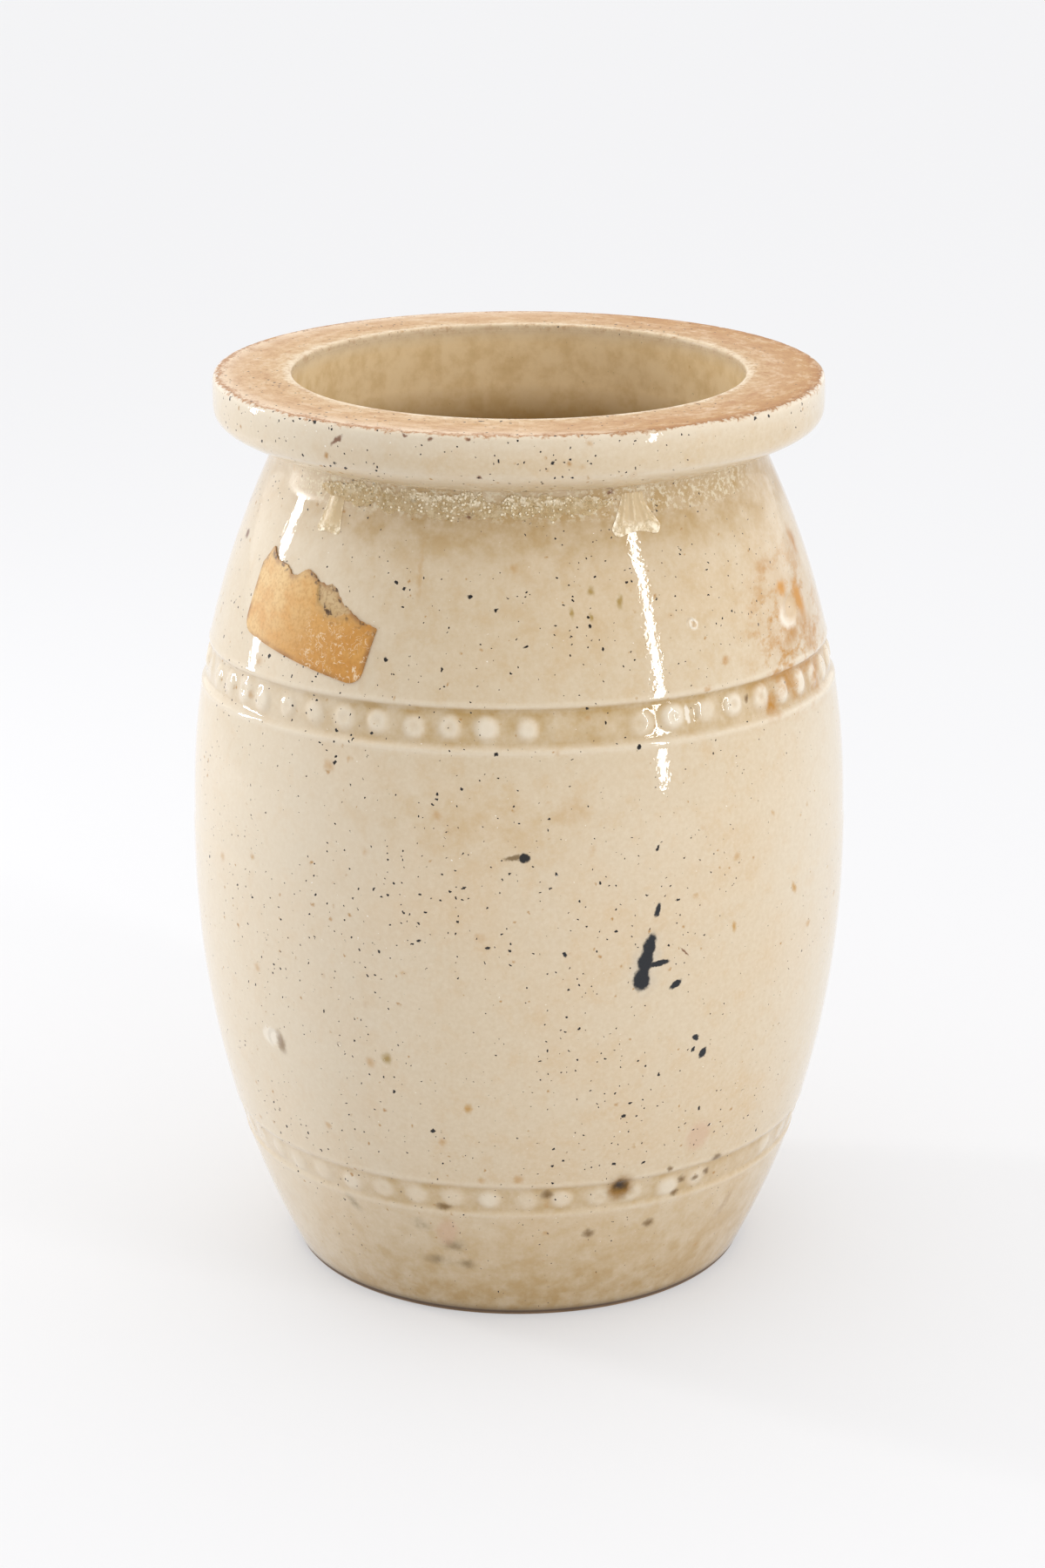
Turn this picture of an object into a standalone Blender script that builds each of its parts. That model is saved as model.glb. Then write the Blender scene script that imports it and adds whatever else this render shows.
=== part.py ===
"""A small salt-glazed stoneware pot: barrel wall with rows of pressed beads, tie groove and wide flat rim.

Metres, +Z up. The pot stands on the origin, and the side with the torn label and the gum faces -Y.
"""

import math

import bmesh
import bpy
from mathutils import Matrix, Vector
from mathutils.geometry import interpolate_bezier

HEIGHT = 0.102

# Barrel wall: it swells from the foot to the belly and draws in again to the shoulder.
FOOT_RADIUS = 0.0257
BELLY_RADIUS = 0.03695
BELLY_HEIGHT = 0.0515
SHOULDER_RADIUS = 0.0280
SHOULDER_HEIGHT = 0.0918
FOOT_FULLNESS = 2.33
SHOULDER_FULLNESS = 2.1
WALL = 0.0043
FLOOR = 0.0060
COVE_TOP = 0.0160

# Foot: a flat ring with a rounded edge, hollowed a little inside so that the pot stands steady.
FOOT_EDGE = 0.0006
FOOT_RING_INNER = 0.0195
FOOT_HOLLOW = 0.0006

# Rim: a flat top, a round outer edge and an underside that draws in to the tie groove.
MOUTH_RADIUS = 0.0250
MOUTH_EDGE = 0.0005
RIM_RADIUS = 0.03366
RIM_FLAT_RADIUS = 0.0324
RIM_SIDE_TOP = 0.1002
RIM_SIDE_BOTTOM = 0.0997
RIM_TURN_HEIGHT = 0.0972
RIM_LOWER_RADIUS = 0.0294
RIM_LOWER_HEIGHT = 0.0952
GROOVE_RADIUS = 0.0274
GROOVE_TOP = 0.0942
GROOVE_BOTTOM = 0.0923

# Bands: shallow grooves round the wall, each with a row of beads pressed at the same pitch.
BAND_DEPTH = 0.0005
BAND_EDGE = 0.0003
UPPER_BAND = (0.0692, 0.0733)
LOWER_BAND = (0.0149, 0.0187)
BEAD_PITCH = 0.0041
BEAD_WIDTH = 0.0025
BEAD_RISE = 0.00065
BEAD_START = math.radians(1.3)

# Torn paper label, as long as the arc it covers. The torn edge is given in the label's own plane.
LABEL_LENGTH = 0.0193
LABEL_BOTTOM = -0.0046
LABEL_CORNER = 0.0016
LABEL_TORN_EDGE = (
    (-0.0097, 0.0028), (-0.0084, 0.0052), (-0.0071, 0.0042), (-0.0050, 0.0043), (-0.0037, 0.0037),
    (-0.0016, 0.0050), (0.0027, 0.0046), (0.0044, 0.0033), (0.0073, 0.0021), (0.0097, 0.0018),
)
LABEL_ANGLE = math.radians(-44.5)
LABEL_HEIGHT = 0.0801
LABEL_TILT = math.radians(-8.0)

# Dried gum left from the cover that was tied on: a crust along the groove and two thin films.
CRUST_ANGLE = math.radians(-14.2)
CRUST_HEIGHT = 0.0933
CRUST_LENGTH = 0.0336
CRUST_WIDTH = 0.0015
LEFT_FLAKE_ANGLE = math.radians(-43.7)
LEFT_FLAKE_HEIGHT = 0.0903
LEFT_FLAKE_SIZE = (0.0016, 0.0021, 0.0027)
RIGHT_FLAKE_ANGLE = math.radians(25.6)
RIGHT_FLAKE_HEIGHT = 0.0921
RIGHT_FLAKE_SIZE = (0.0027, 0.0055, 0.0039)

# A piece that lies on the wall keeps this gap to it.
SEAT_GAP = 0.0003
SHEET_THICKNESS = 0.0003

TURN_STEPS = 64
WALL_STEP = 0.0055
BEAD_SIDES = 8
BEAD_RINGS = 6


def clear_scene():
    for obj in list(bpy.data.objects):
        bpy.data.objects.remove(obj)


def principled(name, colour, roughness):
    material = bpy.data.materials.new(name)
    material.use_nodes = True
    shader = material.node_tree.nodes["Principled BSDF"]
    shader.inputs["Base Color"].default_value = (*colour, 1.0)
    shader.inputs["Roughness"].default_value = roughness
    shader.inputs["Metallic"].default_value = 0.0
    return material


def add_object(name, form, material=None):
    """A named object made from a bmesh, which is used up."""
    mesh = bpy.data.meshes.new(name)
    form.to_mesh(mesh)
    form.free()
    if material:
        mesh.materials.append(material)
    obj = bpy.data.objects.new(name, mesh)
    bpy.context.scene.collection.objects.link(obj)
    return obj


def barrel_radius(height):
    """The wall's outer radius at a height, without bands or groove."""
    if height < BELLY_HEIGHT:
        share = (BELLY_HEIGHT - height) / BELLY_HEIGHT
        return BELLY_RADIUS - (BELLY_RADIUS - FOOT_RADIUS) * share**FOOT_FULLNESS
    share = (height - BELLY_HEIGHT) / (SHOULDER_HEIGHT - BELLY_HEIGHT)
    return BELLY_RADIUS - (BELLY_RADIUS - SHOULDER_RADIUS) * share**SHOULDER_FULLNESS


def outer_radius(height):
    """The surface that the label and the gum lie on: the wall, and the groove's floor above it."""
    return max(barrel_radius(height), GROOVE_RADIUS)


def wall_normal(height, radius_at):
    """The wall's outward direction at a height, as (radius, height)."""
    step = 0.0001
    slope = (radius_at(height + step) - radius_at(height - step)) / (2 * step)
    return Vector((1.0, -slope)).normalized()


def heights_between(top, bottom):
    """Evenly spaced heights from top down to bottom, both ends left out."""
    count = math.ceil((top - bottom) / WALL_STEP)
    return [top + (bottom - top) * step / count for step in range(1, count)]


def barrel_profile(top, bottom):
    return [(barrel_radius(height), height) for height in heights_between(top, bottom)]


def band_profile(band):
    """A shallow groove with short sloping sides, from its top edge down."""
    bottom, top = band
    floor_top = top - BAND_EDGE
    floor_bottom = bottom + BAND_EDGE
    return [
        (barrel_radius(top), top),
        (barrel_radius(floor_top) - BAND_DEPTH, floor_top),
        (barrel_radius(floor_bottom) - BAND_DEPTH, floor_bottom),
        (barrel_radius(bottom), bottom),
    ]


def curve_profile(start, start_handle, end_handle, end, points):
    knots = (Vector(start), Vector(start_handle), Vector(end_handle), Vector(end))
    return [tuple(point) for point in interpolate_bezier(*knots, points)]


def inside_profile():
    """From the floor's centre out to the wall and up to the mouth."""
    corner = (barrel_radius(FLOOR) - WALL, FLOOR)
    cove_end = (barrel_radius(COVE_TOP) - WALL, COVE_TOP)
    cove = curve_profile((FOOT_RADIUS - 2 * WALL, FLOOR), corner, corner, cove_end, 5)
    neck_height = SHOULDER_HEIGHT - WALL
    wall = [
        (max(MOUTH_RADIUS, barrel_radius(height) - WALL), height)
        for height in reversed(heights_between(neck_height, COVE_TOP))
    ]
    lip = [
        (MOUTH_RADIUS, neck_height),
        (MOUTH_RADIUS, HEIGHT - MOUTH_EDGE),
        (MOUTH_RADIUS + MOUTH_EDGE, HEIGHT),
    ]
    return [(0.0, FLOOR)] + cove + wall + lip


def rim_profile():
    """From the flat top's outer edge round the rim and down into the tie groove."""
    corner = (RIM_RADIUS, HEIGHT)
    edge = curve_profile((RIM_FLAT_RADIUS, HEIGHT), corner, corner, (RIM_RADIUS, RIM_SIDE_TOP), 4)
    turn = (RIM_RADIUS, RIM_TURN_HEIGHT)
    lower = (RIM_LOWER_RADIUS, RIM_LOWER_HEIGHT)
    underside = curve_profile((RIM_RADIUS, RIM_SIDE_BOTTOM), turn, turn, lower, 7)
    groove_corner = (GROOVE_RADIUS, RIM_LOWER_HEIGHT)
    fillet = curve_profile(lower, groove_corner, groove_corner, (GROOVE_RADIUS, GROOVE_TOP), 4)
    groove = [
        (GROOVE_RADIUS, GROOVE_BOTTOM),
        (SHOULDER_RADIUS, SHOULDER_HEIGHT),
    ]
    return edge + underside + fillet[1:] + groove


def wall_profile():
    """From the shoulder down to the foot, with both bands."""
    upper = barrel_profile(SHOULDER_HEIGHT, UPPER_BAND[1]) + band_profile(UPPER_BAND)
    belly = barrel_profile(UPPER_BAND[0], LOWER_BAND[1]) + band_profile(LOWER_BAND)
    return upper + belly + barrel_profile(LOWER_BAND[0], FOOT_EDGE)


def foot_profile():
    return [
        (barrel_radius(FOOT_EDGE), FOOT_EDGE),
        (barrel_radius(0.0) - FOOT_EDGE, 0.0),
        (FOOT_RING_INNER, 0.0),
        (FOOT_RING_INNER - FOOT_HOLLOW, FOOT_HOLLOW),
        (0.0, FOOT_HOLLOW),
    ]


def bead_row(name, band):
    """Balls sunk into a band's floor, so that a low round bead shows at each step of the pitch."""
    middle = sum(band) / 2
    floor_radius = barrel_radius(middle) - BAND_DEPTH
    count = round(2 * math.pi * barrel_radius(middle) / BEAD_PITCH)
    half_width = BEAD_WIDTH / 2
    ball_radius = (half_width**2 + BEAD_RISE**2) / (2 * BEAD_RISE)
    outward = wall_normal(middle, barrel_radius)
    sunk = ball_radius - BEAD_RISE
    centre = Vector((0.0, -(floor_radius - sunk * outward.x), middle - sunk * outward.y))
    lean = Matrix.Rotation(math.atan2(outward.x, outward.y), 4, "X")
    form = bmesh.new()
    for step in range(count):
        around = Matrix.Rotation(BEAD_START + 2 * math.pi * step / count, 4, "Z")
        place = around @ Matrix.Translation(centre) @ lean
        bmesh.ops.create_uvsphere(
            form, u_segments=BEAD_SIDES, v_segments=BEAD_RINGS, radius=ball_radius, matrix=place
        )
    row = add_object(name, form)
    row.hide_render = True
    row.display_type = "WIRE"
    return row


def stoneware_pot():
    """The clay body: a turned profile with both rows of beads joined to it."""
    profile = inside_profile() + rim_profile() + wall_profile() + foot_profile()
    form = bmesh.new()
    points = [form.verts.new((radius, 0.0, height)) for radius, height in profile]
    for first, second in zip(points, points[1:]):
        form.edges.new((first, second))
    glaze = principled("cream_salt_glaze", (0.69, 0.57, 0.40), 0.25)
    pot = add_object("stoneware_pot", form, glaze)
    turn = pot.modifiers.new("turn", "SCREW")
    turn.steps = TURN_STEPS
    turn.render_steps = TURN_STEPS
    turn.use_merge_vertices = True
    turn.merge_threshold = 0.00001
    turn.use_smooth_shade = True
    for name, band in (("upper_beads", UPPER_BAND), ("lower_beads", LOWER_BAND)):
        join = pot.modifiers.new(name, "BOOLEAN")
        join.operation = "UNION"
        join.solver = "EXACT"
        join.object = bead_row(name, band)
    return pot


def on_wall(angle, height, lift):
    """The point at an angle round the pot (0 faces -Y, positive to the right), lifted off the surface."""
    outward = wall_normal(height, outer_radius)
    reach = outer_radius(height) + lift * outward.x
    return Vector((reach * math.sin(angle), -reach * math.cos(angle), height + lift * outward.y))


def wrapped_sheet(name, outline, cells, angle, height, tilt, material):
    """A thin sheet on the wall. outline gives its own (across, up) for s in -1 to 1 and t in 0 to 1."""
    columns, rows = cells
    form = bmesh.new()
    bmesh.ops.create_grid(form, x_segments=columns, y_segments=rows, size=1.0)
    for vert in form.verts:
        across, up = outline(vert.co.x, (vert.co.y + 1) / 2)
        turned = Matrix.Rotation(tilt, 2) @ Vector((across, up))
        level = height + turned.y * wall_normal(height, outer_radius).x
        vert.co = on_wall(angle + turned.x / outer_radius(level), level, SEAT_GAP)
    sheet = add_object(name, form, material)
    thicken = sheet.modifiers.new("thickness", "SOLIDIFY")
    thicken.thickness = SHEET_THICKNESS
    thicken.offset = 1.0
    return sheet


def torn_height(across):
    """The label's upper edge, straight from one tear to the next."""
    for (left, left_up), (right, right_up) in zip(LABEL_TORN_EDGE, LABEL_TORN_EDGE[1:]):
        if across <= right:
            return left_up + (right_up - left_up) * (across - left) / (right - left)
    return LABEL_TORN_EDGE[-1][1]


def label_outline(s, t):
    """Rounded lower corners and a torn upper edge."""
    across = s * LABEL_LENGTH / 2
    past = max(0.0, abs(across) - LABEL_LENGTH / 2 + LABEL_CORNER)
    rounding = LABEL_CORNER - math.sqrt(max(0.0, LABEL_CORNER**2 - past**2))
    low = LABEL_BOTTOM + rounding
    return across, low + (torn_height(across) - low) * t


def crust_outline(s, t):
    """A long strip whose two edges run in and out."""
    across = s * CRUST_LENGTH / 2
    ragged = 1.0 + 0.2 * math.sin(13.0 * s) * math.cos(7.0 * s)
    taper = math.sqrt(1.0 - 0.8 * s * s)
    return across, (t - 0.5) * CRUST_WIDTH * ragged * taper


def flake_outline(size):
    """A film that hangs from a narrow top and spreads to a wide round-cornered hem."""
    top_width, hem_width, length = size

    def outline(s, t):
        spread = (1.0 - t) ** 1.5
        half_width = (top_width + (hem_width - top_width) * spread) / 2
        sag = 0.12 * length * s * s * (1.0 - t)
        return s * half_width, (t - 0.5) * length + sag

    return outline


def paper_label():
    paper = principled("tan_gummed_paper", (0.50, 0.28, 0.12), 0.8)
    wrapped_sheet("paper_label", label_outline, (32, 3), LABEL_ANGLE, LABEL_HEIGHT, LABEL_TILT, paper)


def gum_remains():
    gum = principled("dried_gum", (0.72, 0.62, 0.45), 0.4)
    left_film = flake_outline(LEFT_FLAKE_SIZE)
    right_film = flake_outline(RIGHT_FLAKE_SIZE)
    wrapped_sheet("gum_crust", crust_outline, (36, 2), CRUST_ANGLE, CRUST_HEIGHT, 0.0, gum)
    wrapped_sheet("gum_flake_left", left_film, (4, 4), LEFT_FLAKE_ANGLE, LEFT_FLAKE_HEIGHT, 0.0, gum)
    wrapped_sheet("gum_flake_right", right_film, (6, 6), RIGHT_FLAKE_ANGLE, RIGHT_FLAKE_HEIGHT, 0.0, gum)


def main():
    clear_scene()
    stoneware_pot()
    paper_label()
    gum_remains()


main()
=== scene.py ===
import math
from collections import namedtuple
from types import SimpleNamespace

import bpy
from mathutils import Matrix, Vector, noise
from mathutils.geometry import interpolate_bezier


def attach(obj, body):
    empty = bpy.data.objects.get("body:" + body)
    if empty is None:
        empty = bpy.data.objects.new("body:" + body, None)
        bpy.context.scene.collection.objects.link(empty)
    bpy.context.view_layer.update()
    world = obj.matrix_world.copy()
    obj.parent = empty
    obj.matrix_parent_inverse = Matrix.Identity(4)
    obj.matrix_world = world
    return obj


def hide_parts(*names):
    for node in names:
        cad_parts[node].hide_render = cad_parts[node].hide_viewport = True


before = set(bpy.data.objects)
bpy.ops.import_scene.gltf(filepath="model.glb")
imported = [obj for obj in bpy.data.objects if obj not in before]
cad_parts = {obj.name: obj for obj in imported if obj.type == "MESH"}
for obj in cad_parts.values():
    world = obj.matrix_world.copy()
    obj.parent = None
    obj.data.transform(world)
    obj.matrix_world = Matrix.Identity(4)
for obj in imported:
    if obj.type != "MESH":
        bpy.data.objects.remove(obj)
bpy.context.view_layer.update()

# Stoneware pot: one thrown clay body, a barrel wall with a tie groove under a wide flat rim.
# It is fired in a salt kiln, so the glaze is fused to the clay and thins out over every raised edge.
# Two shallow bands were pressed into the wet wall with a roulette wheel that left a row of beads in each.

MM = 0.001
HEIGHT = 102.0 * MM
FOOT_RADIUS = 25.7 * MM
BELLY_RADIUS = 36.95 * MM
BELLY_HEIGHT = 51.5 * MM
SHOULDER_RADIUS = 28.0 * MM
SHOULDER_HEIGHT = 91.8 * MM
FOOT_FULLNESS = 2.33
SHOULDER_FULLNESS = 2.1
WALL = 4.3 * MM
FLOOR = 6.0 * MM
COVE_TOP = 16.0 * MM

FOOT_EDGE = 0.6 * MM
FOOT_RING_INNER = 19.5 * MM
FOOT_RING_MIDDLE = 21.5 * MM
FOOT_HOLLOW = 0.6 * MM
BARE_FOOT = 1.6 * MM

MOUTH_RADIUS = 25.0 * MM
MOUTH_EDGE = 0.5 * MM
RIM_RADIUS = 33.66 * MM
RIM_FLAT_RADIUS = 32.4 * MM
RIM_SIDE_TOP = 99.8 * MM
RIM_SIDE_BOTTOM = 99.5 * MM
RIM_TURN_HEIGHT = 97.2 * MM
RIM_LOWER_RADIUS = 29.4 * MM
RIM_LOWER_HEIGHT = 95.2 * MM
GROOVE_RADIUS = 27.4 * MM
GROOVE_TOP = 94.2 * MM
GROOVE_TURN = 0.2 * MM

# A pressed band: how deep it is, how far its lips stand out, and how deep the glaze pooled in it.
Band = namedtuple("Band", "bottom top depth lip pooled")
UPPER_BAND = Band(69.0 * MM, 73.4 * MM, 0.42 * MM, 0.07 * MM, 0.6)
LOWER_BAND = Band(14.9 * MM, 18.7 * MM, 0.22 * MM, 0.04 * MM, 0.4)
BANDS = (UPPER_BAND, LOWER_BAND)
BAND_SLOPE = 0.5 * MM
LIP_WIDTH = 0.26 * MM
LIP_AWAY = 0.2 * MM
# How much darker the glaze is just under a band's upper wall: pooled glaze and painted shade.
CORNER_POOL_AND_SHADE = 0.6
LIP_THINNING = 0.8

# The upper band leans: it is higher on the right and in front, and the wall near it leans along.
BAND_TILT = math.radians(0.5)
BAND_PITCH = math.radians(1.9)
TILT_REACH = 14.0 * MM

# The rings lie closest in and near the bands, and closer at the foot and the neck than on the plain wall.
COARSE_COLUMNS = 216
FINE_COLUMNS = 864
WALL_STEP = 0.8 * MM
EDGE_STEP = 0.4 * MM
BAND_STEP = 0.22 * MM
INSIDE_STEP = 2.0 * MM
THROAT_STEPS = 8
BAND_MARGIN = 1.2 * MM
FOOT_TOP = 3.0 * MM
NECK_BOTTOM = 88.0 * MM

UNEVENNESS = 0.06 * MM
UNEVEN_SIZE = 16.0 * MM
TURNING_MARK = 0.012 * MM
TURNING_PITCH = 1.4 * MM

# One ring of the pot's surface. depth is the glaze's: -1 thin on an edge, 1 pooled in a hollow.
# rim_run is how far over the rim it lies: 0 at the mouth's lip, 1 at RIM_RUN outward and down from there.
RIM_RUN = 10.0 * MM
PAST_RIM = 2.0
Ring = namedtuple(
    "Ring", "radius height depth bare inside rim_run columns in_band",
    defaults=(0.0, 0.0, 0.0, PAST_RIM, COARSE_COLUMNS, 0.0),
)


def smooth(value):
    """An even step from 0 to 1."""
    share = min(1.0, max(0.0, value))
    return share * share * (3.0 - 2.0 * share)


def bell(distance, width):
    """A soft hump: 1 in its middle, and nearly 0 at twice the width."""
    return math.exp(-((distance / width) ** 2))


def barrel_radius(height):
    """The wall's outer radius at a height, without bands. It turns softly into the tie groove's floor."""
    if height < BELLY_HEIGHT:
        share = (BELLY_HEIGHT - height) / BELLY_HEIGHT
        return BELLY_RADIUS - (BELLY_RADIUS - FOOT_RADIUS) * share**FOOT_FULLNESS
    share = (height - BELLY_HEIGHT) / (SHOULDER_HEIGHT - BELLY_HEIGHT)
    shoulder = BELLY_RADIUS - (BELLY_RADIUS - SHOULDER_RADIUS) * share**SHOULDER_FULLNESS
    apart = (shoulder - GROOVE_RADIUS) / 2
    return GROOVE_RADIUS + apart + math.hypot(apart, GROOVE_TURN) - GROOVE_TURN / 2


def band_relief(height):
    """How far the wall stands in or out at a band, and how deep the glaze lies there."""
    relief = 0.0
    depth = 0.0
    for band in BANDS:
        within = min(height - band.bottom, band.top - height)
        floor = smooth(within / BAND_SLOPE)
        lip = bell(within + LIP_AWAY, LIP_WIDTH)
        # Pooled glaze and painted shade just under the band's upper wall.
        upper_corner = bell(band.top - height - BAND_SLOPE, BAND_SLOPE)
        relief += band.lip * lip - band.depth * floor
        depth += band.pooled * (floor + CORNER_POOL_AND_SHADE * upper_corner - LIP_THINNING * lip)
    return relief, depth


# Where the glaze gathered on the plain wall: how deep, from which height and over what rise.
# The second row also paints the shade that the rim casts on the shoulder just under the groove.
GATHERED = ((0.3, 56.0 * MM, 34.0 * MM), (0.6, 86.5 * MM, 4.5 * MM))
# Near the foot the pooled colour is also painted shade, darker towards the floor.
FOOT_POOL = 0.95
FOOT_POOL_HEIGHT = 13.0 * MM


def pooling(height):
    """How deep the glaze lies on the plain wall, towards the groove and the foot, where it also paints shade.
    """
    depth = FOOT_POOL * bell(height, FOOT_POOL_HEIGHT)
    for most, start, rise in GATHERED:
        depth += most * smooth((height - start) / rise)
    return depth


def curve(start, corner, end, points):
    """A round turn from start to end that leans into a corner."""
    knots = [Vector(knot) for knot in (start, corner, corner, end)]
    return [tuple(point) for point in interpolate_bezier(*knots, points)]


def inside_rings():
    """From the floor's centre out to the wall and up to the mouth's lip."""
    corner = (barrel_radius(FLOOR) - WALL, FLOOR)
    cove_end = (barrel_radius(COVE_TOP) - WALL, COVE_TOP)
    floor = [(share * (FOOT_RADIUS - 2 * WALL), FLOOR) for share in (0.2, 0.4, 0.6, 0.8)]
    cove = curve((FOOT_RADIUS - 2 * WALL, FLOOR), corner, cove_end, 10)
    neck = SHOULDER_HEIGHT - WALL
    steps = round((neck - COVE_TOP) / INSIDE_STEP)
    heights = [COVE_TOP + (neck - COVE_TOP) * step / steps for step in range(1, steps)]
    wall = [(max(MOUTH_RADIUS, barrel_radius(height) - WALL), height) for height in heights]
    lip_corner = (MOUTH_RADIUS, HEIGHT)
    lip = curve((MOUTH_RADIUS, HEIGHT - MOUTH_EDGE), lip_corner, (MOUTH_RADIUS + MOUTH_EDGE, HEIGHT), 5)
    throat_step = (HEIGHT - MOUTH_EDGE - neck) / THROAT_STEPS
    throat = [(MOUTH_RADIUS, neck + throat_step * step) for step in range(THROAT_STEPS)]
    rings = [Ring(*point, depth=0.2, inside=1.0, rim_run=-1.0) for point in floor + cove + wall]
    rings += [Ring(*point, inside=1.0, rim_run=-0.2) for point in throat]
    lip_rings = [Ring(*point, depth=-0.5, inside=0.5) for point in lip]
    return rings + [ring._replace(rim_run=0.01 * step) for step, ring in enumerate(lip_rings)]


RIM_STEPS = 9
MOUTH_EDGE_RUN = 0.05
EDGE_THINNING = 0.5


def rim_rings():
    """The flat top, the outer edge, the underside and the turn into the tie groove."""
    inner = MOUTH_RADIUS + MOUTH_EDGE
    flat_step = (RIM_FLAT_RADIUS - inner) / RIM_STEPS
    flat = [(inner + flat_step * step, HEIGHT) for step in range(1, RIM_STEPS)]
    edge = curve((RIM_FLAT_RADIUS, HEIGHT), (RIM_RADIUS, HEIGHT), (RIM_RADIUS, RIM_SIDE_TOP), 14)
    rings = []
    run = MOUTH_EDGE_RUN
    before = Vector((inner, HEIGHT))
    for point in flat + edge:
        run += (Vector(point) - before).length / RIM_RUN
        before = Vector(point)
        thinning = -EDGE_THINNING * smooth((point[1] - RIM_SIDE_TOP) / (HEIGHT - RIM_SIDE_TOP))
        rings.append(Ring(*point, thinning, rim_run=run))
    lower = (RIM_LOWER_RADIUS, RIM_LOWER_HEIGHT)
    under = curve((RIM_RADIUS, RIM_SIDE_BOTTOM), (RIM_RADIUS, RIM_TURN_HEIGHT), lower, 16)
    for step, point in enumerate(under):
        # Painted shade and highlight: a darker stripe below the edge and a pale band over the turn stand in
        # for the shading and soft glare on the rounded underside. Towards the groove gathered glaze and
        # painted shade deepen it.
        depth = 0.2 * bell(step - 2, 3) - 0.35 * bell(step - 8, 3) + 0.5 * smooth((step - 11) / 4)
        rings.append(Ring(*point, depth))
    floor = barrel_radius(GROOVE_TOP)
    fillet = curve(lower, (floor, RIM_LOWER_HEIGHT), (floor, GROOVE_TOP), 7)
    return rings + [Ring(*point, depth=0.8) for point in fillet[1:]]


def wall_rings():
    """From the groove's floor down to the foot, close together in the bands."""
    rings = []
    height = GROOVE_TOP - EDGE_STEP
    while height > FOOT_EDGE:
        relief, depth = band_relief(height)
        nearest = max(min(height - band.bottom, band.top - height) for band in BANDS)
        in_band = nearest > BAND_STEP
        bare = smooth((BARE_FOOT - height) / BARE_FOOT)
        ring = Ring(barrel_radius(height) + relief, height, depth + pooling(height), bare)
        if in_band:
            ring = ring._replace(columns=FINE_COLUMNS, in_band=1.0)
        rings.append(ring)
        if nearest > -BAND_MARGIN:
            height -= BAND_STEP
        elif height < FOOT_TOP or height > NECK_BOTTOM:
            height -= EDGE_STEP
        else:
            height -= WALL_STEP
    return rings


def foot_rings():
    """The rounded foot edge, the ring it stands on and the hollow inside the ring."""
    corner = (barrel_radius(0.0), 0.0)
    edge = curve((barrel_radius(FOOT_EDGE), FOOT_EDGE), corner, (barrel_radius(0.0) - FOOT_EDGE, 0.0), 5)
    inner = FOOT_RING_INNER
    ring = [(FOOT_RING_MIDDLE, 0.0), (inner, 0.0), (inner - FOOT_HOLLOW, FOOT_HOLLOW)]
    hollow = [(inner * share, FOOT_HOLLOW) for share in (0.75, 0.5, 0.25)]
    return [Ring(*point, depth=0.3, bare=1.0) for point in edge + ring + hollow]


def ring_points(ring):
    """The ring's points, a little out of true as a thrown pot is."""
    points = []
    for column in range(ring.columns):
        angle = 2.0 * math.pi * column / ring.columns
        outward = Vector((math.sin(angle), -math.cos(angle), 0.0))
        point = outward * ring.radius + Vector((0.0, 0.0, ring.height))
        sway = UNEVENNESS * noise.noise(point / UNEVEN_SIZE)
        mark = TURNING_MARK * noise.noise(Vector((0.5, outward.x, ring.height / TURNING_PITCH)))
        lean = BAND_TILT * outward.x - BAND_PITCH * (1.0 + outward.y)
        lean *= ring.radius * bell(ring.height - UPPER_BAND.bottom, TILT_REACH) * (1.0 - ring.inside)
        follow = barrel_radius(ring.height + lean) - barrel_radius(ring.height)
        points.append(point + outward * (sway + mark + follow) + Vector((0.0, 0.0, lean)))
    return points


def join_rings(first, second):
    """Faces between two rings of point numbers, where one ring may hold a multiple of the other's points."""
    columns = min(len(first), len(second))
    share_first = len(first) // columns
    share_second = len(second) // columns
    faces = []
    for column in range(columns):
        start = [first[(column * share_first + step) % len(first)] for step in range(share_first + 1)]
        end = [second[(column * share_second + step) % len(second)] for step in range(share_second + 1)]
        faces.append(start[:1] + end + start[:0:-1])
    return faces


RING_VALUES = {
    "glaze_depth": "depth", "bare_clay": "bare", "inside": "inside", "rim_run": "rim_run",
    "in_band": "in_band",
}


def pot_mesh(rings):
    """A closed mesh through the rings, with a point at the middle of the floor and of the underside."""
    points = [Vector((0.0, 0.0, rings[0].height))]
    owners = [rings[0]]
    numbers = []
    for ring in rings:
        numbers.append(list(range(len(points), len(points) + ring.columns)))
        points += ring_points(ring)
        owners += [ring] * ring.columns
    last = len(points)
    points.append(Vector((0.0, 0.0, rings[-1].height)))
    owners.append(rings[-1])
    faces = []
    for column in range(COARSE_COLUMNS):
        following = (column + 1) % COARSE_COLUMNS
        faces.append([0, numbers[0][column], numbers[0][following]])
        faces.append([last, numbers[-1][following], numbers[-1][column]])
    for first, second in zip(numbers, numbers[1:]):
        faces += join_rings(first, second)
    mesh = bpy.data.meshes.new("stoneware_pot_form")
    mesh.from_pydata(points, [], faces)
    for name, field in RING_VALUES.items():
        layer = mesh.attributes.new(name, "FLOAT", "POINT")
        layer.data.foreach_set("value", [getattr(ring, field) for ring in owners])
    mesh.shade_smooth()
    return mesh


def colour(code):
    """A linear colour from sRGB hex."""
    shares = [int(code[place : place + 2], 16) / 255.0 for place in (0, 2, 4)]
    linear = [share / 12.92 if share <= 0.04045 else ((share + 0.055) / 1.055) ** 2.4 for share in shares]
    return (*linear, 1.0)


def fill_inputs(tree, node, inputs):
    """Links a node's inputs to other nodes or sets them to values, and colours to their hex values."""
    for key, value in inputs.items():
        socket = node.inputs[key]
        if isinstance(value, bpy.types.NodeSocket):
            tree.links.new(value, socket)
        else:
            socket.default_value = colour(value) if socket.type == "RGBA" else value


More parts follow.
